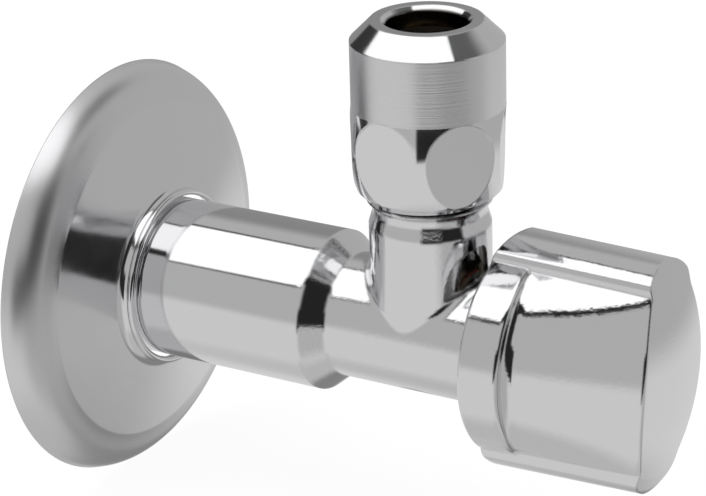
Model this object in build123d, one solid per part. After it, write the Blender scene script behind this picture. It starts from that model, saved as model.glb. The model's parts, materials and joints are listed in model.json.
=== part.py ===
from build123d import *
import os
from math import atan2, cos, pi, radians, sin, sqrt, tan

# Angle isolating valve: the inlet axis runs along Y with the wall at y = 0 and the room at
# negative y; the outlet branch rises along Z. All sizes are in millimetres.

# Fits
RUNNING = 0.05          # radial clearance of a turning or sliding fit
SEAT = 0.02             # gap left between faces that are screwed or pressed together
THREAD_FIT = 0.08       # radial clearance of a screwed pair
LOOSE = 0.45            # radial clearance of the rosette on the shank

# Body, along the inlet axis
WALL_THREAD_R = 10.48
WALL_THREAD_LENGTH = 9.5
WALL_THREAD_CHAMFER = 1.0
SHANK_R = 11.0
SHANK_LENGTH = 36.0
BARREL_R = 8.53
SHOULDER_LENGTH = 2.85
BARREL_REACH = 12.1      # from the branch axis to the barrel's mouth
BARREL_EDGE = 0.3
INLET_R = 6.5
DRILL_POINT = 2.2

# Body, valve chamber and seat
BRANCH_REACH = 11.65     # from the shoulder's end to the branch axis
SEAT_HOLE_R = 4.0
SEAT_LIP_R = 5.0
SEAT_LIP_HEIGHT = 0.8
SEAT_WALL = 9.2          # from the inlet bore's end to the chamber's floor
CHAMBER_BACK = 7.3       # from the chamber's floor to the branch axis
CHAMBER_R = 6.6
SOCKET_R = 6.9
SOCKET_DEPTH = 5.2

# Body, outlet branch
BRANCH_R = 8.10
BRANCH_TOP = 15.6
NECK_R = 7.6
NECK_FOOT = 17.2
NECK_TOP = 18.2
OUTLET_THREAD_R = 8.30
OUTLET_TOP = 33.0
OUTLET_EDGE = 0.6
OUTLET_BORE_R = 4.2
TUBE_STOP = 22.0
TUBE_SOCKET_R = 5.10
OLIVE_MOUTH_R = 6.9
OLIVE_MOUTH_DEPTH = 3.6
ROOT_FILLET = 1.6

# Wall rosette
ROSETTE_R = 29.2
ROSETTE_SHEET = 0.6
ROSETTE_FOOT = 1.05      # from the wall's plane to the foot, as the rosette sits on the shank
SKIRT_HEIGHT = 1.35      # heights are measured from the foot
SKIRT_DRAFT = 0.25
BAND_R = 27.1
BAND_HEIGHT = 3.2
RIDGE_R = 24.3
RIDGE_HEIGHT = 4.6
DISH_RIM_R = 22.4
DISH_R = 16.6
DISH_HEIGHT = 4.05
NECK_HEIGHT = 8.85
LIP_R = 0.46

# Compression nut and olive
NUT_FOOT = 20.2
NUT_TOP = 43.2
NUT_ROUND_R = 10.05
NUT_ROUND_FOOT = 31.8
NUT_BARREL_R = 10.66
NUT_BASE_R = 9.55
NUT_BASE_HEIGHT = 0.35
NUT_FLATS = 19.08
NUT_FLAT_COUNT = 6
NUT_CORNER_ANGLE = -66.5
NUT_FACE_R = 7.4
NUT_HOLE_R = 5.3
NUT_HOLE_LIP_R = 5.9
NUT_THREAD_END = 34.4
NUT_CONE_TOP = 37.9
NUT_MOUTH_CHAMFER = 0.6
OLIVE_R = 6.55
OLIVE_BORE_R = 5.15
OLIVE_WALL = 0.3
NUT_SHOULDER = 0.5       # step between the nut's thread and its cone
SEAT_GAP = 0.15          # axial gap at both cones of the olive

# Headwork
GASKET_THICKNESS = 0.8
BONNET_SKIRT_R = 5.9
BONNET_HEX = 17.0
BONNET_HEX_HEIGHT = 3.6
BONNET_THREAD_LEAD = 0.5
CROWN_ANGLE = 20.0
BONNET_NECK_R = 6.0
BONNET_LENGTH = 11.2     # from the spindle's shoulder to the neck's end
GUIDE_HEX = 8.8
SHOULDER_INSET = 1.6     # how far the spindle's shoulder lies inside the barrel's mouth
JOURNAL_R = 3.55
COLLAR_R = 4.3
COLLAR_LENGTH = 1.2
THRUST_WASHER = 0.5
SPINDLE_SCREW_R = 2.45
SCREW_LEAD = 0.4
SPINDLE_SCREW_LENGTH = 6.56
RING_SECTION = 1.15
RING_WIDTH = 1.4
RING_CORNER = 0.45
RING_PLACES = (3.0, 6.2)  # the ring grooves' middles, from the spindle's shoulder
CIRCLIP_THICKNESS = 0.7
CIRCLIP_R = 4.9
CIRCLIP_GAP_ANGLE = 70.0
CIRCLIP_GROOVE_R = 2.85
SPLINE_GAP = 1.7         # from the headwork's end to the splines
SPLINE_LENGTH = 7.0
SPLINE_ROOT_R = 3.2
SPLINE_TEETH = 18
SLIT_WIDTH = 0.8
SLIT_DEPTH = 5.0

# Valve plunger
PLUNGER_TRAVEL = 3.6
PLUNGER_STOP_GAP = 0.3  # left at both stops of the fully open plunger
WASHER_R = 5.6
WASHER_THICKNESS = 2.0
WASHER_HOLE_R = 1.6
PLUNGER_FLANGE_R = 5.9
PLUNGER_FLANGE = 2.3
SCREW_R = 1.45
SCREW_HEAD_R = 2.7
SCREW_HEAD_HEIGHT = 1.2
SCREW_SLOT = 0.6
SCREW_SLOT_DEPTH = 0.6
SCREW_REACH = 2.0
SCREW_HOLE_REACH = 2.2

# Knob
KNOB_OVERLAP = 1.0       # how far the knob's skirt reaches over the barrel
KNOB_LENGTH = 24.7
KNOB_REAR_R = 14.0
KNOB_FRONT_R = 13.5
KNOB_DOME_R = 46.0
KNOB_ANGLE = 8.0         # the wings' turn from upright in the closed valve
KNOB_SPARE = 3.0         # stock beyond the dome, cut away by it
COLLAR_LENGTH_OUTSIDE = 5.7
COLLAR_EDGE = 0.4
COLLAR_ROUND = 0.7
STEP_FILLET = 1.4
RIM_FILLET = 0.5
GRIP_REAR_HALF = 12.0
GRIP_FRONT_HALF = 8.6
GRIP_EDGE_SIDE = 5.4
GRIP_EDGE_LONG = 12.5
WING_REAR_R = 16.1
WING_FRONT_R = 15.45
WING_HALF = 5.8
WING_ARCH_R = 8.4
WING_CORNER_R = 1.2
WING_HEEL_R = 2.6
WING_NOSE = 3.2          # how far the wing's tip ends short of the knob's front
WING_NOSE_SLOPE = 0.61
SKIRT_BORE_R = 12.0
CAVITY_REAR_R = 9.6
CAVITY_FRONT_R = 6.9
FRONT_WALL = 3.7
BOSS_R = 5.6
BOSS_LEAD = 0.6          # the boss and its hole reach this far beyond the splines
INSERT_R = 4.9
INSERT_LEAD = 0.4
RIB = 1.2
RIB_SHORTER = 1.0


def turned(points):
    """A solid of revolution about the inlet axis from (radius, distance from the wall)."""
    outline = Polyline([(r, -d) for r, d in points], close=True)
    return revolve(make_face(outline), Axis.Y, 360)


def across(distance):
    """The plane across the inlet axis at a distance from the wall: local x and y are X and Z."""
    return Plane(origin=(0, -distance, 0), x_dir=(1, 0, 0), z_dir=(0, -1, 0))


def ring_about_inlet(inner, outer, start, end):
    return turned([(inner, start), (outer, start), (outer, end), (inner, end)])


def turned_up(points):
    """A solid of revolution about the branch axis from (radius, height)."""
    outline = Polyline(points, close=True)
    return revolve(BRANCH_PLANE * make_face(outline), BRANCH_AXIS, 360)


def hex_prism(across_flats, start, end):
    """A hexagonal bar along the inlet axis, between two distances from the wall."""
    face = across(start) * RegularPolygon(across_flats / 2, 6, major_radius=False)
    return extrude(face, end - start)


def solid_of(shape, label):
    """The one solid of a shape, named."""
    solids = shape.solids()
    if len(solids) != 1:
        raise ValueError(f"{label} came out as {len(solids)} solids")
    solid = solids[0]
    solid.label = label
    return solid


# Derived places
BRANCH_AT = SHANK_LENGTH + SHOULDER_LENGTH + BRANCH_REACH
CHAMBER_FLOOR = BRANCH_AT - CHAMBER_BACK
INLET_DEPTH = CHAMBER_FLOOR - SEAT_WALL
BARREL_END = BRANCH_AT + BARREL_REACH
BRANCH_PLANE = Plane(origin=(0, -BRANCH_AT, 0), x_dir=(1, 0, 0), z_dir=(0, -1, 0))
BRANCH_AXIS = Axis((0, -BRANCH_AT, 0), (0, 0, 1))
SPINDLE_SHOULDER = BARREL_END - SHOULDER_INSET
BONNET_END = SPINDLE_SHOULDER + BONNET_LENGTH
SPLINE_START = BONNET_END + SPLINE_GAP
KNOB_REAR = BARREL_END - KNOB_OVERLAP
KNOB_FRONT = KNOB_REAR + KNOB_LENGTH
COLLAR_FRONT = KNOB_REAR + COLLAR_LENGTH_OUTSIDE
CAVITY_END = KNOB_FRONT - FRONT_WALL
SOCKET_START = BARREL_END - SOCKET_DEPTH
GASKET_END = BARREL_END + SEAT + GASKET_THICKNESS
HEX_END = GASKET_END + SEAT + BONNET_HEX_HEIGHT
BORE_R = JOURNAL_R + RUNNING
WASHER_FACE = CHAMBER_FLOOR + SEAT_LIP_HEIGHT + RUNNING
WASHER_BACK = WASHER_FACE + WASHER_THICKNESS
FLANGE_START = WASHER_BACK + SEAT
FLANGE_END = FLANGE_START + PLUNGER_FLANGE
BONNET_INNER_END = FLANGE_END + PLUNGER_TRAVEL + PLUNGER_STOP_GAP
SPINDLE_COLLAR_END = SPINDLE_SHOULDER - 2 * SEAT - THRUST_WASHER
SPINDLE_COLLAR_START = SPINDLE_COLLAR_END - COLLAR_LENGTH
SPINDLE_TIP = SPINDLE_COLLAR_START - SPINDLE_SCREW_LENGTH
PLUNGER_STEM_END = SPINDLE_COLLAR_START - PLUNGER_TRAVEL - PLUNGER_STOP_GAP
SPLINE_END = SPLINE_START + SPLINE_LENGTH
BOSS_START = SPLINE_START - BOSS_LEAD


def valve_body():
    """One brass forging: wall thread, polished shank, tee barrel and outlet branch."""
    inlet = turned([
        (0, -WALL_THREAD_LENGTH),
        (WALL_THREAD_R - WALL_THREAD_CHAMFER, -WALL_THREAD_LENGTH),
        (WALL_THREAD_R, WALL_THREAD_CHAMFER - WALL_THREAD_LENGTH),
        (WALL_THREAD_R, 0), (SHANK_R, 0), (SHANK_R, SHANK_LENGTH),
        (BARREL_R, SHANK_LENGTH + SHOULDER_LENGTH),
        (BARREL_R, BARREL_END - BARREL_EDGE), (BARREL_R - BARREL_EDGE, BARREL_END),
        (0, BARREL_END)])
    lower = turned_up([(0, 0), (BRANCH_R, 0), (BRANCH_R, BRANCH_TOP), (0, BRANCH_TOP)])
    joined = inlet + lower
    root = [e for e in joined.edges()
            if e.geom_type not in (GeomType.LINE, GeomType.CIRCLE) and e.center().Z > 0]
    joined = fillet(root, ROOT_FILLET)
    runout = OUTLET_THREAD_R - NECK_R
    upper = turned_up([
        (0, BRANCH_TOP - 1), (BRANCH_R, BRANCH_TOP - 1), (BRANCH_R, BRANCH_TOP), (NECK_R, NECK_FOOT),
        (NECK_R, NECK_TOP), (OUTLET_THREAD_R, NECK_TOP + runout),
        (OUTLET_THREAD_R, OUTLET_TOP - OUTLET_EDGE), (OUTLET_THREAD_R - OUTLET_EDGE, OUTLET_TOP),
        (0, OUTLET_TOP)])
    bores = turned([
        (0, -WALL_THREAD_LENGTH), (INLET_R, -WALL_THREAD_LENGTH), (INLET_R, INLET_DEPTH),
        (SEAT_HOLE_R, INLET_DEPTH + DRILL_POINT),
        (SEAT_HOLE_R, CHAMBER_FLOOR + SEAT_LIP_HEIGHT), (SEAT_LIP_R, CHAMBER_FLOOR + SEAT_LIP_HEIGHT),
        (SEAT_LIP_R, CHAMBER_FLOOR), (CHAMBER_R, CHAMBER_FLOOR), (CHAMBER_R, SOCKET_START),
        (SOCKET_R, SOCKET_START), (SOCKET_R, BARREL_END), (0, BARREL_END)])
    outlet = turned_up([
        (0, 0), (OUTLET_BORE_R, 0), (OUTLET_BORE_R, TUBE_STOP),
        (TUBE_SOCKET_R, TUBE_STOP), (TUBE_SOCKET_R, OUTLET_TOP - OLIVE_MOUTH_DEPTH),
        (OLIVE_MOUTH_R, OUTLET_TOP), (0, OUTLET_TOP)])
    return solid_of(joined + upper - bores - outlet, "valve_body")


def wall_rosette():
    """A pressed sheet cover: skirt, rounded band up to a ridge, flat dish, flared neck, rolled lip."""
    neck_r = SHANK_R + LOOSE + LIP_R
    foot_r = ROSETTE_R - ROSETTE_SHEET / 2
    shoulder = foot_r - SKIRT_DRAFT
    skirt = Line((foot_r, 0), (shoulder, -SKIRT_HEIGHT))
    band = Spline((shoulder, -SKIRT_HEIGHT), (BAND_R, -BAND_HEIGHT), (RIDGE_R, -RIDGE_HEIGHT),
                  tangents=[(-SKIRT_DRAFT, -SKIRT_HEIGHT), (-1, 0)])
    step = Spline((RIDGE_R, -RIDGE_HEIGHT), (DISH_RIM_R, -DISH_HEIGHT), tangents=[(-1, 0), (-1, 0)])
    dish = Line((DISH_RIM_R, -DISH_HEIGHT), (DISH_R, -DISH_HEIGHT))
    flare = Spline((DISH_R, -DISH_HEIGHT), (neck_r, -NECK_HEIGHT), tangents=[(-1, 0), (0, -1)])
    path = Wire([skirt, band, step, dish, flare])
    sheet = trace(path, ROSETTE_SHEET)
    lip = Pos(neck_r, -NECK_HEIGHT - LIP_R / 2) * Circle(LIP_R)
    rosette = revolve(sheet + lip, Axis.Y, 360)
    return solid_of(Pos(0, -ROSETTE_FOOT, 0) * rosette, "wall_rosette")


def nut_flat_cutter():
    """The block that one milling pass takes away: round at its top end, open at the foot."""
    half = sqrt(NUT_BARREL_R ** 2 - (NUT_FLATS / 2) ** 2)
    centre = NUT_ROUND_FOOT - half
    tall = 2 * (centre - NUT_FOOT)
    outline = Pos(0, centre) * Circle(half) + Pos(0, centre - tall / 2) * Rectangle(2 * half, tall)
    plane = Plane(origin=(0, -BRANCH_AT - NUT_FLATS / 2, 0), x_dir=(1, 0, 0), z_dir=(0, -1, 0))
    return extrude(plane * outline, half)


def compression_nut():
    """A turned nut: chamfered round top, barrel with six milled flats, thread and cone inside."""
    profile = Polyline(
        (NUT_ROUND_R, NUT_ROUND_FOOT), (NUT_ROUND_R, NUT_TOP - (NUT_ROUND_R - NUT_FACE_R)),
        (NUT_FACE_R, NUT_TOP), (0, NUT_TOP), (0, NUT_FOOT),
        (NUT_BASE_R - NUT_BASE_HEIGHT, NUT_FOOT), (NUT_BASE_R, NUT_FOOT + NUT_BASE_HEIGHT))
    widest = (NUT_FOOT + NUT_BASE_HEIGHT + NUT_ROUND_FOOT) / 2
    barrel = ThreePointArc((NUT_BASE_R, NUT_FOOT + NUT_BASE_HEIGHT), (NUT_BARREL_R, widest),
                           (NUT_ROUND_R, NUT_ROUND_FOOT))
    outside = revolve(BRANCH_PLANE * make_face([*profile.edges(), *barrel.edges()]), BRANCH_AXIS, 360)
    thread_r = OUTLET_THREAD_R + THREAD_FIT
    lip_drop = NUT_HOLE_LIP_R - NUT_HOLE_R
    inside = turned_up([
        (0, NUT_FOOT), (thread_r + NUT_MOUTH_CHAMFER, NUT_FOOT),
        (thread_r, NUT_FOOT + NUT_MOUTH_CHAMFER), (thread_r, NUT_THREAD_END),
        (OLIVE_R + NUT_SHOULDER, NUT_THREAD_END), (NUT_HOLE_R, NUT_CONE_TOP),
        (NUT_HOLE_R, NUT_TOP - lip_drop), (NUT_HOLE_LIP_R, NUT_TOP), (0, NUT_TOP)])
    nut = outside - inside
    cutter = nut_flat_cutter()
    step = 360 / NUT_FLAT_COUNT
    for i in range(NUT_FLAT_COUNT):
        nut -= cutter.rotate(BRANCH_AXIS, NUT_CORNER_ANGLE + step * (i + 0.5))
    return solid_of(nut, "compression_nut")


def compression_olive():
    """The brass ring that the nut squeezes on to the tube: cones at both ends, a land between."""
    mouth_slope = (OLIVE_MOUTH_R - TUBE_SOCKET_R) / OLIVE_MOUTH_DEPTH
    low = OUTLET_TOP - OLIVE_MOUTH_DEPTH + SEAT_GAP
    low += (OLIVE_BORE_R + OLIVE_WALL - TUBE_SOCKET_R) / mouth_slope
    rise = (OLIVE_R - OLIVE_BORE_R - OLIVE_WALL) / mouth_slope
    cone_slope = (OLIVE_R + NUT_SHOULDER - NUT_HOLE_R) / (NUT_CONE_TOP - NUT_THREAD_END)
    land_top = NUT_CONE_TOP - (OLIVE_R - NUT_HOLE_R) / cone_slope - SEAT_GAP
    high = land_top + (OLIVE_R - OLIVE_BORE_R - OLIVE_WALL) / cone_slope
    return solid_of(turned_up([
        (OLIVE_BORE_R, low), (OLIVE_BORE_R + OLIVE_WALL, low), (OLIVE_R, low + rise),
        (OLIVE_R, land_top), (OLIVE_BORE_R + OLIVE_WALL, high), (OLIVE_BORE_R, high)]),
        "compression_olive")


def headwork_gasket():
    return solid_of(ring_about_inlet(SOCKET_R + RUNNING, BARREL_R - BARREL_EDGE,
                                     BARREL_END + SEAT, GASKET_END), "headwork_gasket")


def headwork_body():
    """The screwed-in brass insert: guide skirt, thread, hexagon and the neck round the spindle."""
    thread_r = SOCKET_R - THREAD_FIT
    thread_start = SOCKET_START + BONNET_THREAD_LEAD
    core = turned([
        (0, BONNET_INNER_END), (BONNET_SKIRT_R, BONNET_INNER_END), (BONNET_SKIRT_R, thread_start),
        (thread_r, thread_start), (thread_r, HEX_END - BONNET_HEX_HEIGHT / 2),
        (BONNET_NECK_R, HEX_END - BONNET_HEX_HEIGHT / 2), (BONNET_NECK_R, BONNET_END),
        (0, BONNET_END)])
    clear_r = BONNET_HEX
    drop = (clear_r - BONNET_HEX / 2) * tan(radians(CROWN_ANGLE))
    crown = turned([
        (0, GASKET_END + SEAT), (clear_r, GASKET_END + SEAT), (clear_r, HEX_END - drop),
        (BONNET_HEX / 2, HEX_END), (0, HEX_END)])
    hexagon = hex_prism(BONNET_HEX, GASKET_END + SEAT, HEX_END) & crown
    guide = hex_prism(GUIDE_HEX, BONNET_INNER_END, SPINDLE_SHOULDER)
    journal = ring_about_inlet(0, BORE_R, SPINDLE_SHOULDER, BONNET_END)
    return solid_of(core + hexagon - guide - journal, "headwork_body")


def thrust_washer():
    start = SPINDLE_SHOULDER - SEAT - THRUST_WASHER
    return solid_of(ring_about_inlet(JOURNAL_R + RUNNING, COLLAR_R, start, SPINDLE_SHOULDER - SEAT),
                    "thrust_washer")


def spline_section(root_r, tip_r):
    """The serrated outline: one tooth repeated round the circle."""
    points = []
    for i in range(SPLINE_TEETH):
        for share, radius in ((0, root_r), (0.5, tip_r)):
            angle = 2 * pi * (i + share) / SPLINE_TEETH
            points.append((radius * cos(angle), radius * sin(angle)))
    return make_face(Polyline(points, close=True))


def spindle():
    """The turned spindle: screw, collar, journal with two ring grooves, clip groove and splines."""
    groove_r = BORE_R - RING_SECTION
    points = [(0, SPINDLE_TIP), (SPINDLE_SCREW_R - SCREW_LEAD, SPINDLE_TIP),
              (SPINDLE_SCREW_R, SPINDLE_TIP + SCREW_LEAD), (SPINDLE_SCREW_R, SPINDLE_COLLAR_START),
              (COLLAR_R, SPINDLE_COLLAR_START), (COLLAR_R, SPINDLE_COLLAR_END),
              (JOURNAL_R, SPINDLE_COLLAR_END)]
    for place in RING_PLACES:
        centre = SPINDLE_SHOULDER + place
        half = RING_WIDTH / 2 + SEAT
        points += [(JOURNAL_R, centre - half), (groove_r, centre - half),
                   (groove_r, centre + half), (JOURNAL_R, centre + half)]
    clip_start = BONNET_END + RUNNING
    clip_end = clip_start + CIRCLIP_THICKNESS + 2 * SEAT
    points += [(JOURNAL_R, clip_start), (CIRCLIP_GROOVE_R, clip_start), (CIRCLIP_GROOVE_R, clip_end),
               (JOURNAL_R, clip_end), (JOURNAL_R, SPLINE_START), (0, SPLINE_START)]
    shaft = turned(points)
    head = extrude(across(SPLINE_START) * spline_section(SPLINE_ROOT_R, JOURNAL_R), SPLINE_LENGTH)
    slit = Pos(0, SLIT_DEPTH / 2 - SPLINE_END, 0) * Box(3 * JOURNAL_R, SLIT_DEPTH, SLIT_WIDTH)
    return solid_of(shaft + head - slit, "spindle")


def o_ring(place, label):
    centre = SPINDLE_SHOULDER + place
    inner = BORE_R - RING_SECTION + SEAT
    outer = BORE_R - SEAT
    section = Pos((inner + outer) / 2, -centre) * RectangleRounded(outer - inner, RING_WIDTH, RING_CORNER)
    return solid_of(revolve(section, Axis.Y, 360), label)


def spindle_circlip():
    start = BONNET_END + RUNNING + SEAT
    ring = ring_about_inlet(CIRCLIP_GROOVE_R + RUNNING, CIRCLIP_R, start, start + CIRCLIP_THICKNESS)
    reach = 2 * CIRCLIP_R
    half = radians(CIRCLIP_GAP_ANGLE / 2)
    gap = make_face(Polyline((0, 0), (reach * cos(half), -reach * sin(half)),
                             (reach * cos(half), reach * sin(half)), close=True))
    return solid_of(ring - extrude(across(start) * gap, CIRCLIP_THICKNESS), "spindle_circlip")


def valve_plunger():
    """The hexagonal slider that carries the washer and is drawn along by the spindle's screw."""
    flange = ring_about_inlet(0, PLUNGER_FLANGE_R, FLANGE_START, FLANGE_END)
    stem = hex_prism(GUIDE_HEX - 4 * RUNNING, FLANGE_END, PLUNGER_STEM_END)
    bore = ring_about_inlet(0, SPINDLE_SCREW_R + THREAD_FIT,
                            SPINDLE_TIP - PLUNGER_TRAVEL - 2 * RUNNING, PLUNGER_STEM_END)
    screw_hole = ring_about_inlet(0, SCREW_R + SEAT, FLANGE_START, FLANGE_START + SCREW_HOLE_REACH)
    return solid_of(flange + stem - bore - screw_hole, "valve_plunger")


def seat_washer():
    return solid_of(ring_about_inlet(WASHER_HOLE_R, WASHER_R, WASHER_FACE, WASHER_BACK), "seat_washer")


def washer_screw():
    """A slotted cheese-head screw that holds the washer on the plunger."""
    head_start = WASHER_FACE - SEAT - SCREW_HEAD_HEIGHT
    head = ring_about_inlet(0, SCREW_HEAD_R, head_start, WASHER_FACE - SEAT)
    shank = ring_about_inlet(0, SCREW_R, WASHER_FACE - SEAT, FLANGE_START + SCREW_REACH)
    slot = Pos(0, -head_start, 0) * Box(SCREW_SLOT, 2 * SCREW_SLOT_DEPTH, 3 * SCREW_HEAD_R)
    return solid_of(head + shank - slot, "washer_screw")


def grip_section(half):
    """The grip's outline: two bowed sides, open past the round at both ends."""
    far = KNOB_REAR_R + KNOB_SPARE
    side, long = GRIP_EDGE_SIDE, GRIP_EDGE_LONG
    right = ThreePointArc((side, -long), (half, 0), (side, long))
    left = ThreePointArc((-side, long), (-half, 0), (-side, -long))
    top = Polyline((side, long), (side, far), (-side, far), (-side, long))
    bottom = Polyline((-side, -long), (-side, -far), (side, -far), (side, -long))
    return make_face([*right.edges(), *top.edges(), *left.edges(), *bottom.edges()])


def round_r_at(distance):
    """The radius of the drafted round at a distance from the wall."""
    return KNOB_REAR_R - (KNOB_REAR_R - KNOB_FRONT_R) * (distance - KNOB_REAR) / (KNOB_FRONT - KNOB_REAR)


def grip_half_at(distance):
    """Half the grip's width at a distance from the wall, without the fillet at its foot."""
    share = (distance - COLLAR_FRONT) / (KNOB_FRONT - COLLAR_FRONT)
    return GRIP_REAR_HALF + (GRIP_FRONT_HALF - GRIP_REAR_HALF) * share


def wing_section(tip_r):
    """One wing's outline: an arched back with rounded corners and straight flanks.

    Arch and corner touch on the line from the arch's centre through the corner's centre.
    """
    arch = tip_r - WING_ARCH_R
    corner_x = WING_HALF - WING_CORNER_R
    corner_z = arch + sqrt((WING_ARCH_R - WING_CORNER_R) ** 2 - corner_x ** 2)
    turn = atan2(corner_x, corner_z - arch)
    touch = (corner_x + WING_CORNER_R * sin(turn), corner_z + WING_CORNER_R * cos(turn))
    half_way = (turn + pi / 2) / 2
    middle = (corner_x + WING_CORNER_R * sin(half_way), corner_z + WING_CORNER_R * cos(half_way))

    def other(point):
        return (-point[0], point[1])

    back = ThreePointArc(touch, (0, tip_r), other(touch))
    right = ThreePointArc((WING_HALF, corner_z), middle, touch)
    left = ThreePointArc(other(touch), other(middle), (-WING_HALF, corner_z))
    base = Polyline((-WING_HALF, corner_z), (-WING_HALF, 0), (WING_HALF, 0), (WING_HALF, corner_z))
    return make_face([*right.edges(), *back.edges(), *left.edges(), *base.edges()])


def knob_grip():
    """The bowed, tapering grip with the hollow fillet at its foot, cut from the round."""
    beyond = KNOB_FRONT + KNOB_SPARE
    foot = COLLAR_FRONT + STEP_FILLET
    sections = []
    for degrees in (0, 22.5, 45, 67.5, 90):
        turn = radians(degrees)
        distance = foot - STEP_FILLET * cos(turn)
        half = grip_half_at(distance) + STEP_FILLET * (1 - sin(turn))
        sections.append(across(distance) * grip_section(half))
    hollow = loft(sections)
    sides = loft([across(foot) * grip_section(grip_half_at(foot)),
                  across(beyond) * grip_section(grip_half_at(beyond))], ruled=True)
    stock = turned([(0, KNOB_REAR), (round_r_at(KNOB_REAR), KNOB_REAR), (round_r_at(beyond), beyond),
                    (0, beyond)])
    return stock & (hollow + sides)


def knob_collar():
    """The round collar, with a broken rear edge and a rounded front edge."""
    rear_r, front_r = round_r_at(KNOB_REAR), round_r_at(COLLAR_FRONT)
    middle = COLLAR_ROUND * (1 - sqrt(0.5))
    lines = Polyline(
        (front_r - COLLAR_ROUND, -COLLAR_FRONT), (0, -COLLAR_FRONT), (0, -KNOB_REAR),
        (rear_r - COLLAR_EDGE, -KNOB_REAR), (rear_r, -KNOB_REAR - COLLAR_EDGE),
        (front_r, COLLAR_ROUND - COLLAR_FRONT))
    edge = ThreePointArc((front_r, COLLAR_ROUND - COLLAR_FRONT),
                         (front_r - middle, middle - COLLAR_FRONT),
                         (front_r - COLLAR_ROUND, -COLLAR_FRONT))
    return revolve(make_face([*lines.edges(), *edge.edges()]), Axis.Y, 360)


def knob_wing():
    """One wing, from the collar's rear to its sloping nose, with its rear corner rounded off."""
    beyond = KNOB_FRONT + KNOB_SPARE
    wing = loft([across(KNOB_REAR) * wing_section(WING_REAR_R),
                 across(beyond) * wing_section(WING_FRONT_R)], ruled=True)
    shoulder = WING_REAR_R - WING_HEEL_R
    middle = WING_HEEL_R * (1 - sqrt(0.5))
    nose = KNOB_FRONT - WING_NOSE
    lines = Polyline((WING_REAR_R, -KNOB_REAR - WING_HEEL_R), (WING_REAR_R, -nose),
                     (0, -nose - WING_NOSE_SLOPE * WING_REAR_R), (0, -KNOB_REAR),
                     (shoulder, -KNOB_REAR))
    heel = ThreePointArc((shoulder, -KNOB_REAR), (WING_REAR_R - middle, -KNOB_REAR - middle),
                         (WING_REAR_R, -KNOB_REAR - WING_HEEL_R))
    return wing & revolve(make_face([*lines.edges(), *heel.edges()]), Axis.Y, 360)


def knob_outside():
    """Round collar, bowed grip with a rounded rim, two wings and a domed front."""
    dome = Pos(0, KNOB_DOME_R - KNOB_FRONT, 0) * Sphere(KNOB_DOME_R)
    grip = solid_of(knob_grip() & dome, "grip")
    rim = [e for e in grip.edges() if e.center().Y < -CAVITY_END]
    grip = fillet(rim, RIM_FILLET)
    wing = knob_wing() & dome
    return knob_collar() + grip + wing + wing.rotate(Axis.Y, 180)


def knob_socket():
    """The hollow: skirt round the headwork, tapered cavity with a boss and two ribs."""
    skirt = ring_about_inlet(0, SKIRT_BORE_R, KNOB_REAR, COLLAR_FRONT)
    cavity = turned([(0, COLLAR_FRONT), (CAVITY_REAR_R, COLLAR_FRONT), (CAVITY_FRONT_R, CAVITY_END),
                     (0, CAVITY_END)])
    boss = ring_about_inlet(0, BOSS_R, BOSS_START, CAVITY_END)
    rib_length = CAVITY_END - SPLINE_START - RIB_SHORTER
    rib = Pos(0, rib_length / 2 - CAVITY_END, 0) * Box(RIB, rib_length, 3 * CAVITY_REAR_R)
    hole = ring_about_inlet(0, INSERT_R + SEAT, BOSS_START, SPLINE_END + BOSS_LEAD)
    return skirt + (cavity - boss - rib) + hole


def knob():
    return solid_of((knob_outside() - knob_socket()).rotate(Axis.Y, KNOB_ANGLE), "knob")


def knob_insert():
    """The plastic bush between the spindle's serrations and the knob's boss."""
    start = SPLINE_START - INSERT_LEAD
    outer = ring_about_inlet(0, INSERT_R, start, SPLINE_END + INSERT_LEAD)
    mouth = ring_about_inlet(0, BORE_R, start, SPLINE_START + RUNNING)
    serrations = spline_section(SPLINE_ROOT_R + RUNNING, JOURNAL_R + RUNNING)
    socket = extrude(across(SPLINE_START) * serrations, SPLINE_LENGTH + RUNNING)
    return solid_of(outer - mouth - socket, "knob_insert")


def parts():
    return [
        valve_body(), wall_rosette(), compression_nut(), compression_olive(), headwork_gasket(),
        headwork_body(), thrust_washer(), spindle(),
        o_ring(RING_PLACES[0], "spindle_ring_inner"), o_ring(RING_PLACES[1], "spindle_ring_outer"),
        spindle_circlip(), valve_plunger(), seat_washer(), washer_screw(), knob(), knob_insert()]


os.makedirs("parts", exist_ok=True)
for part in parts():
    export_step(part, f"parts/{part.label}.step")
    print(f"{part.label}: {part.volume:.1f} mm3")
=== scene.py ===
# %% [markdown]
# # An angle isolating valve in chrome
# The valve hangs on a wall: its polished shank comes out of a pressed rosette, the nut on the upright
# branch takes the tap's tube, and the knob at the front opens and closes it. The solids come from the
# CAD part. This script gives them their surfaces, a studio and the photograph's camera.
# Chrome shows hardly any colour of its own, so most of the work lies in the room that it mirrors.

# %% Frame
import json
import math

import bpy
import numpy as np
from mathutils import Matrix, Vector


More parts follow.
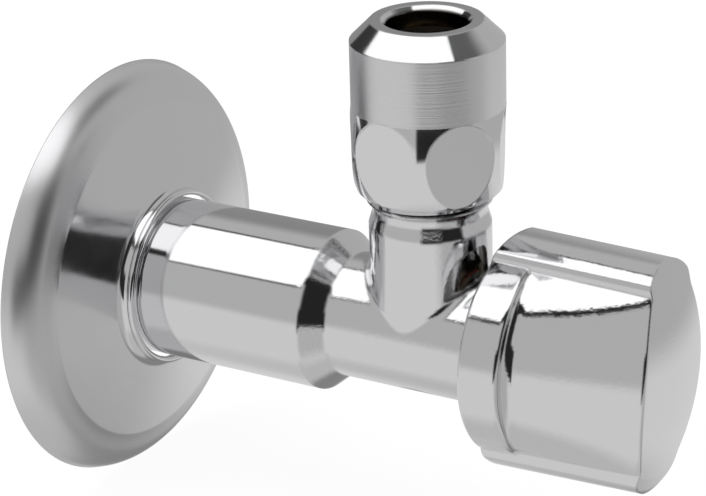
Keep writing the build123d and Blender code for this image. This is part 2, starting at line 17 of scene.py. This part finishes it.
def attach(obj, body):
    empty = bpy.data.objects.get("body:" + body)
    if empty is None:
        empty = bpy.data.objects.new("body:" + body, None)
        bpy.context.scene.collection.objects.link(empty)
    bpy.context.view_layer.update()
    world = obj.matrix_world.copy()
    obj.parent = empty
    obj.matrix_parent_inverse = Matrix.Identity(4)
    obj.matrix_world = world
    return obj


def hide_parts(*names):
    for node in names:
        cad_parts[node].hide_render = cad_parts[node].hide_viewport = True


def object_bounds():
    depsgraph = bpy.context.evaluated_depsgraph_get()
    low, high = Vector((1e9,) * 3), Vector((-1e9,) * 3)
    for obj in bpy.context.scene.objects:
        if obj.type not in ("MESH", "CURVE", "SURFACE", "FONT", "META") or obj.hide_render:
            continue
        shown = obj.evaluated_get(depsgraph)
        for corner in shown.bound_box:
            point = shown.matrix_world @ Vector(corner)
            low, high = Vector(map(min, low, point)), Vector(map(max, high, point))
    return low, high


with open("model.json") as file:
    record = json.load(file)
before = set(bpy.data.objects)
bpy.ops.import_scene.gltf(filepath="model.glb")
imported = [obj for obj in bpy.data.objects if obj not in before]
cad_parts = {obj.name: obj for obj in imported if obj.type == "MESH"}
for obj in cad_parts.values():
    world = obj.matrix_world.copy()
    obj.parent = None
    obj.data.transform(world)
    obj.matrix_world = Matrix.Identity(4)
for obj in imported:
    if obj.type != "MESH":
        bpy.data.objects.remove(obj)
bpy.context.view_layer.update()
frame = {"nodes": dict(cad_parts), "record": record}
nodes = frame["nodes"]
MM = 0.001
print("CAD nodes:", ", ".join(sorted(nodes)))

# %% [markdown]
# ## Node helpers
# A material is a small graph of nodes. It could be drawn by hand in the shader editor. Written as code
# it can be read and changed, and these helpers keep it short: they add a node and set its inputs, and
# they take another node's output wherever a number could stand.

# %% Node helpers


def link_or_set(tree, socket, value):
    """Connects value to the socket if it is another node's output, and stores it if it is a number."""
    if isinstance(value, bpy.types.NodeSocket):
        tree.links.new(value, socket)
    else:
        socket.default_value = value


def add_node(tree, kind, inputs=None, **settings):
    """A new node of that kind: settings are its properties, inputs its sockets by name or number."""
    node = tree.nodes.new(kind)
    for name, value in settings.items():
        setattr(node, name, value)
    for key, value in (inputs or {}).items():
        link_or_set(tree, node.inputs[key], value)
    return node


def arithmetic(tree, operation, *values):
    """One Math node; its output."""
    node = add_node(tree, "ShaderNodeMath", operation=operation)
    for i, value in enumerate(values):
        link_or_set(tree, node.inputs[i], value)
    return node.outputs[0]


def along(tree, vector, direction):
    """How far the vector reaches along a direction: their dot product."""
    node = add_node(tree, "ShaderNodeVectorMath", operation="DOT_PRODUCT")
    link_or_set(tree, node.inputs[0], vector)
    node.inputs[1].default_value = direction
    return node.outputs["Value"]


def ramp(tree, value, low, high, start=0.0, end=1.0):
    """Goes smoothly from start to end while value goes from low to high."""
    node = add_node(tree, "ShaderNodeMapRange", interpolation_type="SMOOTHSTEP")
    for key, item in (("Value", value), ("From Min", low), ("From Max", high),
                      ("To Min", start), ("To Max", end)):
        link_or_set(tree, node.inputs[key], item)
    return node.outputs["Result"]


print("node helpers: link_or_set, add_node, arithmetic, along, ramp")

# %% [markdown]
# ## The studio
# A mirror shows the room around it, so the room is the main part of a chrome picture. A lamp setup
# would be one way to make it. Here the room is painted on the world by direction, because panels with
# clean edges give chrome its white and black bands, cost no lamps and stand still from every side.
# A corner of a panel is written as the azimuth and elevation in which the object sees it. Azimuth 0
# is straight ahead of the knob (-Y) and 90 is to the right of the valve (+X). Each edge of a panel is
# a plane through the object and two corners, and the panel is where a direction is inside all of them.

# %% Panel helpers


def towards(azimuth, elevation):
    """The unit vector of a direction given in degrees."""
    a, e = math.radians(azimuth), math.radians(elevation)
    return Vector((math.sin(a) * math.cos(e), -math.cos(a) * math.cos(e), math.sin(e)))


def panel(tree, direction, corners, soft):
    """A mask that is 1 inside the corners, listed clockwise as the object sees them.

    soft is half the width of the edge's fade, as a sine.
    """
    places = [towards(*corner) for corner in corners]
    mask = 1.0
    for first, second in zip(places, places[1:] + places[:1]):
        inward = second.cross(first).normalized()
        inside = along(tree, direction, inward)
        mask = arithmetic(tree, "MULTIPLY", mask, ramp(tree, inside, -soft, soft))
    return mask


def mixed(tree, mask, below, above):
    """below where the mask is 0, above where it is 1."""
    node = add_node(tree, "ShaderNodeMix", data_type="FLOAT")
    link_or_set(tree, node.inputs[0], mask)
    link_or_set(tree, node.inputs[2], below)
    link_or_set(tree, node.inputs[3], above)
    return node.outputs[0]


print("straight ahead of the knob is", tuple(round(x, 3) for x in towards(0, 0)))

# %% [markdown]
# The room: grey walls, a paler table below that darkens in front of the valve and on its far side, a
# big softbox overhead in a thin black frame, a dim stretch of ceiling beside it, a dark backdrop behind
# the rosette, and a black curtain and the dark camera stand in front of the knob. Later panels cover
# earlier ones, as things that stand nearer would. The strengths are those at which the chrome, which
# returns four fifths of the light, comes out as bright as in the photograph. The camera itself sees
# plain white behind the valve, as the photograph's ground was cut out to white.

# %% Studio
WALL = 0.50
RIGHT_WALL = 0.47
FAR_WALL = 0.28
BACKDROP = 0.04
TABLE = 0.70
NEAR_TABLE = 0.55
DIM_TABLE = 0.26
FRONT_TABLE = 0.47
SOFTBOX = 1.32
FRAME = 0.02
CURTAIN = 0.02
CEILING = 0.12
SOFTBOX_CORNERS = [(-137, 33), (172, 32), (152, 55), (5, 63), (-14, 47), (-33, 50)]
FRAME_CORNERS = [(-139, 31), (172, 29), (150, 51), (6, 59), (-12, 43), (-40, 40)]
CEILING_CORNERS = [(2, 72), (75, 50), (62, 36), (2, 46)]
CURTAIN_CORNERS = [(-44, 42), (-2, 36), (2, -6), (-40, -10)]
CAMERA_STAND_CORNERS = [(-78, 13), (-36, 13), (-36, -10), (-78, -17)]
RIGHT_WALL_CORNERS = [(15, 32), (115, 32), (115, -12), (15, -12)]
BACKDROP_CORNERS = [(150, 29), (-158, 29), (-158, -12), (150, -12)]
FRONT_TABLE_CORNERS = [(-46, 2), (35, 2), (35, -44), (-46, -44)]
DIM_TABLE_CORNERS = [(20, -30), (112, -31), (140, -60), (30, -66)]
TABLE_NEAR_HEIGHTS = (-0.92, -0.78)      # sines of elevation between straight below and further out
TABLE_EDGE_HEIGHTS = (-0.20, -0.02)
FAR_CORNER = (128, 8)
FAR_CORNER_REACH = (0.80, 0.95)          # cosines of the angle from that corner

# corners, half the fade of the edge as a sine, strength; from the farthest to the nearest
PANELS = [
    (FRONT_TABLE_CORNERS, 0.20, FRONT_TABLE),
    (RIGHT_WALL_CORNERS, 0.08, RIGHT_WALL),
    (DIM_TABLE_CORNERS, 0.12, DIM_TABLE),
    (BACKDROP_CORNERS, 0.05, BACKDROP),
    (CEILING_CORNERS, 0.06, CEILING),
    (CURTAIN_CORNERS, 0.04, CURTAIN),
    (CAMERA_STAND_CORNERS, 0.04, CURTAIN),
    (FRAME_CORNERS, 0.006, FRAME),
    (SOFTBOX_CORNERS, 0.006, SOFTBOX),
]


def build_world():
    """Paints the room on the world by direction and leaves it white to the camera."""
    world = bpy.data.worlds.new("studio")
    bpy.context.scene.world = world
    world.use_nodes = True
    tree = world.node_tree
    tree.nodes.clear()
    direction = add_node(tree, "ShaderNodeTexCoord").outputs["Generated"]
    height = along(tree, direction, (0, 0, 1))
    table = ramp(tree, height, *TABLE_NEAR_HEIGHTS, NEAR_TABLE, TABLE)
    light = ramp(tree, height, *TABLE_EDGE_HEIGHTS, table, WALL)
    far = ramp(tree, along(tree, direction, towards(*FAR_CORNER)), *FAR_CORNER_REACH)
    light = mixed(tree, far, light, FAR_WALL)
    for corners, soft, strength in PANELS:
        light = mixed(tree, panel(tree, direction, corners, soft), light, strength)
    camera_ray = add_node(tree, "ShaderNodeLightPath").outputs["Is Camera Ray"]
    light = mixed(tree, camera_ray, light, 1.0)
    background = add_node(tree, "ShaderNodeBackground", {"Strength": light})
    background.inputs["Color"].default_value = (1, 1, 1, 1)
    output = add_node(tree, "ShaderNodeOutputWorld")
    tree.links.new(background.outputs[0], output.inputs[0])
    print("studio:", len(PANELS), "panels,", len(tree.nodes), "nodes")


build_world()

# %% [markdown]
# ## Shared surface effects
# Plating follows the metal below it. A casting or forging keeps a slight orange peel, a turned face
# keeps fine rings, and handling leaves a soft unevenness in the gloss. Each effect is a small node
# group that puts out a height or a value, so that every material can use it at its own scale.

# %% Surface effects


def effect(name, inputs, output):
    """An empty shader group with those number inputs and one number output."""
    group = bpy.data.node_groups.new(name, "ShaderNodeTree")
    group.interface.new_socket("Position", in_out="INPUT", socket_type="NodeSocketVector")
    for socket in inputs:
        group.interface.new_socket(socket, in_out="INPUT", socket_type="NodeSocketFloat")
    group.interface.new_socket(output, in_out="OUTPUT", socket_type="NodeSocketFloat")
    start = group.nodes.new("NodeGroupInput")
    end = group.nodes.new("NodeGroupOutput")
    return group, start.outputs, end.inputs


def orange_peel():
    """Height: two sizes of smooth noise, the coarse one for dimples, the fine one for grain."""
    group, given, result = effect("orange peel", ["Dimples per metre", "Grain share"], "Height")
    coarse = add_node(group, "ShaderNodeTexNoise", {"Vector": given[0], "Scale": given[1], "Detail": 1.0})
    finer = arithmetic(group, "MULTIPLY", given[1], 3.7)
    grain = add_node(group, "ShaderNodeTexNoise", {"Vector": given[0], "Scale": finer, "Detail": 1.0})
    share = arithmetic(group, "MULTIPLY", grain.outputs[0], given[2])
    group.links.new(arithmetic(group, "ADD", coarse.outputs[0], share), result[0])
    return group


def turning_lines(axis):
    """Height: rings of uneven depth along one axis, as a cutting tool leaves them."""
    group, given, result = effect("turning lines " + "xyz"[axis], ["Lines per metre"], "Height")
    steps = arithmetic(group, "MULTIPLY", height_along(group, given[0], axis), given[1])
    line = add_node(group, "ShaderNodeTexNoise", {"W": steps, "Scale": 1.0, "Detail": 3.0},
                    noise_dimensions="1D")
    group.links.new(line.outputs[0], result[0])
    return group


def uneven_gloss():
    """Share: soft clouds between 0 and 1, as handling and buffing leave them."""
    group, given, result = effect("uneven gloss", ["Clouds per metre"], "Share")
    cloud = add_node(group, "ShaderNodeTexNoise", {"Vector": given[0], "Scale": given[1], "Detail": 4.0})
    group.links.new(ramp(group, cloud.outputs[0], 0.3, 0.7), result[0])
    return group


def distance_from_axis(tree, place, axis, centre):
    """How far the point is from the line through centre along an axis (0, 1 or 2)."""
    away = add_node(tree, "ShaderNodeVectorMath", {0: place, 1: centre}, operation="SUBTRACT")
    flat = [0.0 if i == axis else 1.0 for i in range(3)]
    across = add_node(tree, "ShaderNodeVectorMath", {0: away.outputs[0], 1: flat}, operation="MULTIPLY")
    length = add_node(tree, "ShaderNodeVectorMath", {0: across.outputs[0]}, operation="LENGTH")
    return length.outputs["Value"]


def height_along(tree, place, axis):
    """The point's coordinate along an axis (0, 1 or 2)."""
    return add_node(tree, "ShaderNodeSeparateXYZ", {0: place}).outputs[axis]


def between(tree, value, low, high, soft):
    """1 while value is between low and high."""
    rise = ramp(tree, value, low - soft, low + soft)
    fall = ramp(tree, value, high - soft, high + soft, 1.0, 0.0)
    return arithmetic(tree, "MULTIPLY", rise, fall)


def screw_thread(name, axis, centre, pitch, low, high, inner_r):
    """Height: a right-handed V thread between low and high along the axis, outside the inner radius.

    Each turn round the axis lifts the crest by one pitch: height = |2 fract(s / pitch + a / 2 pi) - 1|.
    """
    group, given, result = effect(name, [], "Height")
    place = given[0]
    away = add_node(group, "ShaderNodeVectorMath", {0: place, 1: centre}, operation="SUBTRACT").outputs[0]
    parts = add_node(group, "ShaderNodeSeparateXYZ", {0: away}).outputs
    angle = arithmetic(group, "ARCTAN2", parts[(axis + 2) % 3], parts[(axis + 1) % 3])
    turns = arithmetic(group, "DIVIDE", parts[axis], -pitch)
    turns = arithmetic(group, "ADD", turns, arithmetic(group, "DIVIDE", angle, 2 * math.pi))
    wave = arithmetic(group, "PINGPONG", arithmetic(group, "MULTIPLY", turns, 2.0), 1.0)
    radius = distance_from_axis(group, place, axis, centre)
    outside = ramp(group, radius, inner_r - 0.1 * MM, inner_r + 0.1 * MM)
    threaded = between(group, parts[axis], low, high, 0.2 * MM)
    wave = arithmetic(group, "MULTIPLY", wave, arithmetic(group, "MULTIPLY", threaded, outside))
    group.links.new(wave, result[0])
    return group


BRANCH_AXIS = (0, -50.5 * MM, 0)
ORANGE_PEEL = orange_peel()
UNEVEN_GLOSS = uneven_gloss()
LINES_ALONG_Y = turning_lines(1)
LINES_ALONG_Z = turning_lines(2)
WALL_THREAD = screw_thread("wall thread", 1, (0, 0, 0), 1.814 * MM, 0.3 * MM, 8.9 * MM, 8.5 * MM)
OUTLET_THREAD = screw_thread("outlet thread", 2, BRANCH_AXIS, 1.337 * MM, 18.6 * MM, 32.6 * MM, 7.2 * MM)
print("surface effects:", [group.name for group in bpy.data.node_groups])

# %% [markdown]
# ## Finishes
# Every finish starts from the same maker: a colour, a metallic value and a gloss that wanders a little,
# because an even gloss looks like plastic film. The bump heights are a few micrometres, as on the real
# plating, since a mirror shows even those.

# %% Finish maker


TEE_START = (-36 * MM, -33 * MM)           # along Y, over the shoulder cone
NUT_ROUND_PART = (31.8 * MM, 40.5 * MM)    # along Z, between the milled barrel and the chamfer
ROSETTE_RIM = (23.0 * MM, 25.0 * MM)       # radius, just outside the crease
BRANCH_BORE = (5.3 * MM, 5.6 * MM)         # radius, at the edge of the nut's hole
KNOB_HOLLOW = (12.0 * MM, 12.3 * MM)       # radius, at the bore of the knob's skirt
KNOB_HOLLOW_END = (-67.5 * MM, -67.0 * MM)  # along Y, at the front of the collar
CLOUDS_PER_METRE = 140.0


def forged(tree, place):
    """1 on the forged tee and 0 on the shank, which was turned smooth before it was plated."""
    return ramp(tree, height_along(tree, place, 1), *TEE_START, 1.0, 0.0)


def turned(tree, place):
    """1 on the nut's round part."""
    return between(tree, height_along(tree, place, 2), *NUT_ROUND_PART, 0.05 * MM)


def rim(tree, place):
    """1 on the rosette's outer band, which a buffing wheel leaves softer than the dish."""
    return ramp(tree, distance_from_axis(tree, place, 1, (0, 0, 0)), *ROSETTE_RIM)


def bore(tree, place):
    """1 inside the upright hole, where a darker grey is painted as shade."""
    return ramp(tree, distance_from_axis(tree, place, 2, BRANCH_AXIS), *BRANCH_BORE, 1.0, 0.0)


def hollow(tree, place):
    """1 on the inside of the knob's skirt, where a darker grey is painted as shade too."""
    inside = ramp(tree, distance_from_axis(tree, place, 1, (0, 0, 0)), *KNOB_HOLLOW, 1.0, 0.0)
    behind_front = ramp(tree, height_along(tree, place, 1), *KNOB_HOLLOW_END)
    return arithmetic(tree, "MULTIPLY", inside, behind_front)


def linked_effect(tree, group, place, values):
    """The output of a shared effect that is placed in a material with its own values."""
    node = tree.nodes.new("ShaderNodeGroup")
    node.node_tree = group
    tree.links.new(place, node.inputs[0])
    for i, value in enumerate(values):
        node.inputs[i + 1].default_value = value
    return node.outputs[0]


def finish(name, color, metallic, roughness, bumps=(), wander=0.3, rougher=None, painted_shade=None, soft=0.0):
    """A Principled material whose roughness wanders by a share, with the listed bumps stacked on it.

    A bump is (group, its number inputs, distance in metres, where), and where is a share function or
    None for everywhere. rougher is (where, roughness, grooves): the grooves stretch each reflection
    along Z by that share. duller is (where, color): a darker base colour there, which is painted shade.
    soft is the radius to which polishing has rounded the edges and filled the corners.
    """
    material = bpy.data.materials.new(name)
    material.use_nodes = True
    tree = material.node_tree
    shader = tree.nodes["Principled BSDF"]
    shader.inputs["Base Color"].default_value = (*color, 1)
    shader.inputs["Metallic"].default_value = metallic
    place = add_node(tree, "ShaderNodeTexCoord").outputs["Object"]
    cloud = linked_effect(tree, UNEVEN_GLOSS, place, (CLOUDS_PER_METRE,))
    gloss = mixed(tree, cloud, roughness * (1 - wander), roughness * (1 + wander))
    if rougher:
        where, value, grooves = rougher
        gloss = mixed(tree, where(tree, place), gloss, value)
        shader.inputs["Anisotropic"].default_value = grooves
        shader.inputs["Anisotropic Rotation"].default_value = 0.25
        tangent = add_node(tree, "ShaderNodeTangent", direction_type="RADIAL", axis="Z")
        tree.links.new(tangent.outputs[0], shader.inputs["Tangent"])
    tree.links.new(gloss, shader.inputs["Roughness"])
    # Painted shade: where the share is 1 the base colour turns to the darker one.
    if painted_shade:
        where, shade_color = painted_shade
        mix = add_node(tree, "ShaderNodeMix", {0: where(tree, place)}, data_type="RGBA")
        mix.inputs[6].default_value = (*color, 1)
        mix.inputs[7].default_value = (*shade_color, 1)
        tree.links.new(mix.outputs[2], shader.inputs["Base Color"])
    normal = None
    if soft:
        normal = add_node(tree, "ShaderNodeBevel", {"Radius": soft}, samples=6).outputs[0]
    for group, values, distance, where in bumps:
        height = linked_effect(tree, group, place, values)
        bump = add_node(tree, "ShaderNodeBump", {"Distance": distance, "Height": height})
        if where:
            tree.links.new(where(tree, place), bump.inputs["Strength"])
        if normal is not None:
            tree.links.new(normal, bump.inputs["Normal"])
        normal = bump.outputs[0]
    if normal is not None:
        tree.links.new(normal, shader.inputs["Normal"])
    return material


# The upright bore and the hollow are places of painted shade, not finishes of their own.
print("parts of a surface with their own finish: tee, nut's round part, rim, upright bore, hollow")

# %% [markdown]
# The chromed pieces differ in how they were made: the body is turned and forged, the rosette is pressed
# and softly polished, the nut is turned and milled, and the knob is cast. The hidden pieces keep the
# plain metals, rubbers and plastics that such a valve has. The threads could be cut into the mesh, but
# the CAD keeps plain cylinders there and only views from behind show them, so their relief is a bump.
# The headwork is brass too. The photograph is nearly black behind the knob, where the chrome mirrors
# the headwork, so its brass is darkened there: painted shade.

# %% Finishes
CHROME = (0.80, 0.80, 0.81)
BRASS = (0.78, 0.60, 0.30)
# The darkened headwork brass below is painted shade for the shade behind the knob.
PAINTED_SHADE_BRASS = (0.10, 0.085, 0.06)
# A darker grey painted as shade in the upright bore and the knob's hollow.
PAINTED_SHADE_GREY = (0.16, 0.15, 0.14)
RUBBER = (0.03, 0.03, 0.03)
FIBRE = (0.45, 0.12, 0.08)
SLIP_PLASTIC = (0.88, 0.88, 0.86)
INSERT_PLASTIC = (0.80, 0.80, 0.78)
SPRING_STEEL = (0.45, 0.46, 0.48)
MICRON = 0.001 * MM
TURNED_BRASS_LINES = [(LINES_ALONG_Y, (7000,), 8 * MICRON, None)]

# The darker grey in the upright bore and the knob's hollow is painted shade.
finishes = {
    "body_chrome": finish("body chrome", CHROME, 1.0, 0.05,
                          [(ORANGE_PEEL, (2200, 0.4), 11 * MICRON, forged),
                           (WALL_THREAD, (), 1.0 * MM, None), (OUTLET_THREAD, (), 0.8 * MM, None)],
                          painted_shade=(bore, PAINTED_SHADE_GREY), soft=0.7 * MM),
    "rosette_chrome": finish("rosette chrome", CHROME, 1.0, 0.12,
                             [(ORANGE_PEEL, (260, 0.1), 10 * MICRON, None)],
                             rougher=(rim, 0.34, 0.0)),
    "nut_chrome": finish("nut chrome", CHROME, 1.0, 0.10,
                         [(LINES_ALONG_Z, (3500,), 22 * MICRON, turned)],
                         rougher=(turned, 0.36, 0.5), painted_shade=(bore, PAINTED_SHADE_GREY), soft=0.3 * MM),
    "knob_chrome": finish("knob chrome", CHROME, 1.0, 0.06,
                          [(ORANGE_PEEL, (2200, 0.35), 7 * MICRON, None)],
                          painted_shade=(hollow, PAINTED_SHADE_GREY), soft=0.4 * MM),
    "bare_brass": finish("bare brass", BRASS, 1.0, 0.24, TURNED_BRASS_LINES),
    "seal_rubber": finish("seal rubber", RUBBER, 0.0, 0.62,
                          [(ORANGE_PEEL, (2500, 0.5), 10 * MICRON, None)]),
    "fibre": finish("gasket fibre", FIBRE, 0.0, 0.80,
                    [(ORANGE_PEEL, (4000, 0.8), 20 * MICRON, None)]),
    "slip_plastic": finish("slip plastic", SLIP_PLASTIC, 0.0, 0.35),
    "insert_plastic": finish("insert plastic", INSERT_PLASTIC, 0.0, 0.45),
    "spring_steel": finish("spring steel", SPRING_STEEL, 1.0, 0.32,
                           [(LINES_ALONG_Y, (12000,), 6 * MICRON, None)]),
}
# Painted shade: the headwork gets a darkened brass for the shade behind the knob.
shaded_headwork_brass = finish("headwork brass with painted shade", PAINTED_SHADE_BRASS, 1.0, 0.42, TURNED_BRASS_LINES)
slots = {part["node"]: part["material_slot"] for part in frame["record"]["subparts"]}
for name, node in nodes.items():
    node.data.materials.clear()
    node.data.materials.append(finishes[slots[name]])
# the headwork's darkened brass is painted shade
nodes["headwork_body"].data.materials[0] = shaded_headwork_brass
print("finishes:", len(bpy.data.materials), "on", len(nodes), "nodes")

# %% [markdown]
# ## The pressed rosette
# The rosette is one disc of thin brass sheet, drawn over a die: a steep side, a wide rounding to a
# sloping band, a crease, a dish that rises like a shallow cone, and a fillet up to the neck. The
# polished skin shows each change of slope, so the surface follows the die's own profile: straight
# stretches joined by arcs. A subdivided mesh would round every corner alike, so the profile is computed
# and turned round the shank's axis.

# %% Turned surfaces


def rounded_path(corners, step):
    """Points about one step apart, along a path of straight stretches whose corners are rounded.

    corners are (radius from the axis, height, corner radius) in millimetres. At a corner with the turn
    angle t, an arc of radius r touches both stretches at r tan(t / 2) from the corner. Each gap between
    two points is then cut into n equal parts: start + (end - start) k / n for k from 1 to n.
    """
    corners = np.asarray(corners, float)
    points = [corners[0, :2]]
    for before, here, after in zip(corners[:-2], corners[1:-1], corners[2:]):
        corner, radius = here[:2], here[2]
        come = (corner - before[:2]) / np.linalg.norm(corner - before[:2])
        go = (after[:2] - corner) / np.linalg.norm(after[:2] - corner)
        turn = math.atan2(come[0] * go[1] - come[1] * go[0], come @ go)
        reach = radius * math.tan(abs(turn) / 2)
        begin = corner - reach * come
        side = math.copysign(1.0, turn) * np.array((-come[1], come[0]))
        centre = begin + radius * side
        angles = np.linspace(0, turn, max(2, int(abs(turn) * radius / step) + 2))
        spoke = begin - centre
        arc = np.stack((spoke[0] * np.cos(angles) - spoke[1] * np.sin(angles),
                        spoke[0] * np.sin(angles) + spoke[1] * np.cos(angles)), axis=1)
        points.extend(centre + arc)
    points.append(corners[-1, :2])
    points = np.array(points)
    gaps = np.linalg.norm(np.diff(points, axis=0), axis=1)
    points = points[np.concatenate(([True], gaps > 1e-6))]
    spans = np.diff(points, axis=0)
    parts = np.maximum(1, (np.linalg.norm(spans, axis=1) / step).astype(int))
    span = np.repeat(np.arange(len(parts)), parts)
    k = np.arange(len(span)) - (np.cumsum(parts) - parts)[span] + 1
    return np.concatenate((points[:1], points[span] + spans[span] * (k / parts[span])[:, None]))


BEAD_POINTS = 25


def sheet_section(path, thickness, bead_r):
    """The closed section of a sheet along a path, with a round bead of radius bead_r at its end.

    Each point of the path gives two, half a thickness to either side along the path's normal. The bead
    is the circle of radius bead_r that meets both sides: its ends lie on them and are left out.
    """
    tangent = np.gradient(path, axis=0)
    tangent /= np.linalg.norm(tangent, axis=1)[:, None]
    normal = np.stack((-tangent[:, 1], tangent[:, 0]), axis=1) * thickness / 2
    ahead = tangent[-1]
    start = math.asin(thickness / 2 / bead_r)
    centre = path[-1] + ahead * bead_r * math.cos(start)
    angles = np.linspace(math.pi - start, start - math.pi, BEAD_POINTS)[1:-1]
    across = np.array((-ahead[1], ahead[0]))
    bead = centre + bead_r * (np.cos(angles)[:, None] * ahead + np.sin(angles)[:, None] * across)
    return np.concatenate((path + normal, bead, (path - normal)[::-1]))


def turned_mesh(name, section, around):
    """A mesh that a closed section (radius, height) makes when it turns round the shank's axis (-Y).

    A point at radius r and height h goes to (r cos a, -h, r sin a) for every angle a.
    """
    angles = np.linspace(0, 2 * math.pi, around, endpoint=False)
    radius, height = section[:, :1] * MM, section[:, 1:] * MM
    verts = np.stack((radius * np.cos(angles), -height + 0 * angles, radius * np.sin(angles)), axis=2)
    count = len(section)
    i, j = np.meshgrid(np.arange(count), np.arange(around), indexing="ij")
    next_i, next_j = (i + 1) % count, (j + 1) % around
    quads = np.stack((i * around + j, i * around + next_j, next_i * around + next_j,
                      next_i * around + j), axis=2).reshape(-1, 4)
    area = np.sum(section[:, 0] * np.roll(section[:, 1], -1) - np.roll(section[:, 0], -1) * section[:, 1])
    if area < 0:
        quads = quads[:, ::-1]
    mesh = bpy.data.meshes.new(name)
    mesh.from_pydata(verts.reshape(-1, 3).tolist(), [], quads.tolist())
    mesh.shade_smooth()
    piece = bpy.data.objects.new(name, mesh)
    bpy.context.scene.collection.objects.link(piece)
    return piece


print("a turned surface takes a closed section and a number of steps round the axis")

# %% [markdown]
# The profile is the middle line of the sheet, from its foot near the wall to the lip that hugs the
# shank. Each entry is a corner: its distance from the axis, its height from the wall and the radius
# of its rounding, in millimetres. The edge at the neck is folded over, so it ends in a round bead.
# This piece shows in place of the plain one of the CAD and rides on the same sliding body.

# %% Pressed rosette
ROSETTE_PATH = [
    (28.90, 1.05, 0), (27.85, 4.30, 5.0), (23.30, 5.84, 0.9), (11.91, 8.62, 1.5), (11.91, 9.80, 0)]
ROSETTE_SHEET = 0.6
LIP_R = 0.46
PROFILE_STEP = 0.16
STEPS_ROUND = 288

path = rounded_path(ROSETTE_PATH, PROFILE_STEP)
rosette = turned_mesh("pressed_rosette", sheet_section(path, ROSETTE_SHEET, LIP_R), STEPS_ROUND)
rosette.data.materials.append(finishes["rosette_chrome"])
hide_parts("wall_rosette")
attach(rosette, "rosette")
print("pressed rosette:", len(rosette.data.polygons), "faces over", len(path), "points of its profile")

# %% [markdown]
# ## The camera
# It looks at the valve from its left and from above, and from so far away that the rosette and the knob
# come out at nearly one scale. It could be placed by eye. Here its place was worked out from the circles
# of rosette, shank and nut in the photograph, because chrome shows at once when the angle is off.

# %% Camera
SENSOR = 36.0
LENS = 149.58
AZIMUTH, ELEVATION, ROLL = map(math.radians, (-58.98, 22.27, -1.617))
DISTANCE = 390.1 * MM
TARGET = Vector((0, -41.905, 10.476)) * MM
SHIFT_RIGHT, SHIFT_UP = -2.859 * MM, -0.414 * MM


def place_camera():
    """A camera that looks at the target from an azimuth, an elevation and a distance, slightly rolled."""
    back = Vector((math.sin(AZIMUTH) * math.cos(ELEVATION), -math.cos(AZIMUTH) * math.cos(ELEVATION),
                   math.sin(ELEVATION)))
    level = Vector((math.cos(AZIMUTH), math.sin(AZIMUTH), 0))
    upward = back.cross(level)
    right = math.cos(ROLL) * level + math.sin(ROLL) * upward
    up = -math.sin(ROLL) * level + math.cos(ROLL) * upward
    data = bpy.data.cameras.new("camera")
    data.sensor_fit = "HORIZONTAL"
    data.sensor_width = SENSOR
    data.lens = LENS
    data.clip_start = 0.01
    camera = bpy.data.objects.new("camera", data)
    bpy.context.scene.collection.objects.link(camera)
    place = TARGET + SHIFT_RIGHT * right + SHIFT_UP * up + DISTANCE * back
    camera.matrix_world = Matrix((right, up, back)).transposed().to_4x4()
    camera.location = place
    bpy.context.scene.camera = camera
    print("camera at", [round(1000 * x, 1) for x in place], "mm")


place_camera()

# %% [markdown]
# ## The floor
# It lies just below the rosette's rim. The camera sees it glow almost white, as the photograph's ground
# is, and the part that doesn't glow keeps a faint shadow. The chrome doesn't mirror it, because the
# painted table below the valve takes its place there.

# %% Floor
FLOOR_HALF = 1.5
FLOOR_GLOW = 1.14
FLOOR_GLOW_SHARE = 0.8
FLOOR_GAP = 0.2 * MM
FLOOR_COLOR = (0.9, 0.9, 0.9, 1)


def build_floor():
    """One square below the part, which belongs to the stage and not to the part."""
    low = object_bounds()[0].z - FLOOR_GAP
    corners = [(-FLOOR_HALF, -FLOOR_HALF, low), (FLOOR_HALF, -FLOOR_HALF, low),
               (FLOOR_HALF, FLOOR_HALF, low), (-FLOOR_HALF, FLOOR_HALF, low)]
    mesh = bpy.data.meshes.new("floor")
    mesh.from_pydata(corners, [], [(0, 1, 2, 3)])
    floor = bpy.data.objects.new("floor", mesh)
    bpy.context.scene.collection.objects.link(floor)
    material = bpy.data.materials.new("pale floor")
    material.use_nodes = True
    tree = material.node_tree
    shader = tree.nodes["Principled BSDF"]
    shader.inputs["Base Color"].default_value = FLOOR_COLOR
    shader.inputs["Roughness"].default_value = 0.9
    glow = add_node(tree, "ShaderNodeEmission", {"Strength": FLOOR_GLOW})
    camera_ray = add_node(tree, "ShaderNodeLightPath").outputs["Is Camera Ray"]
    share = arithmetic(tree, "MULTIPLY", camera_ray, FLOOR_GLOW_SHARE)
    mix = add_node(tree, "ShaderNodeMixShader", {0: share, 1: shader.outputs[0], 2: glow.outputs[0]})
    tree.links.new(mix.outputs[0], tree.nodes["Material Output"].inputs["Surface"])
    mesh.materials.append(material)
    floor.visible_glossy = False
    print("floor at", round(1000 * low, 1), "mm")


build_floor()

# %% [markdown]
# ## Colour output
# The render shows colours through the Standard view transform.

# %% Finish
bpy.context.scene.view_settings.view_transform = "Standard"
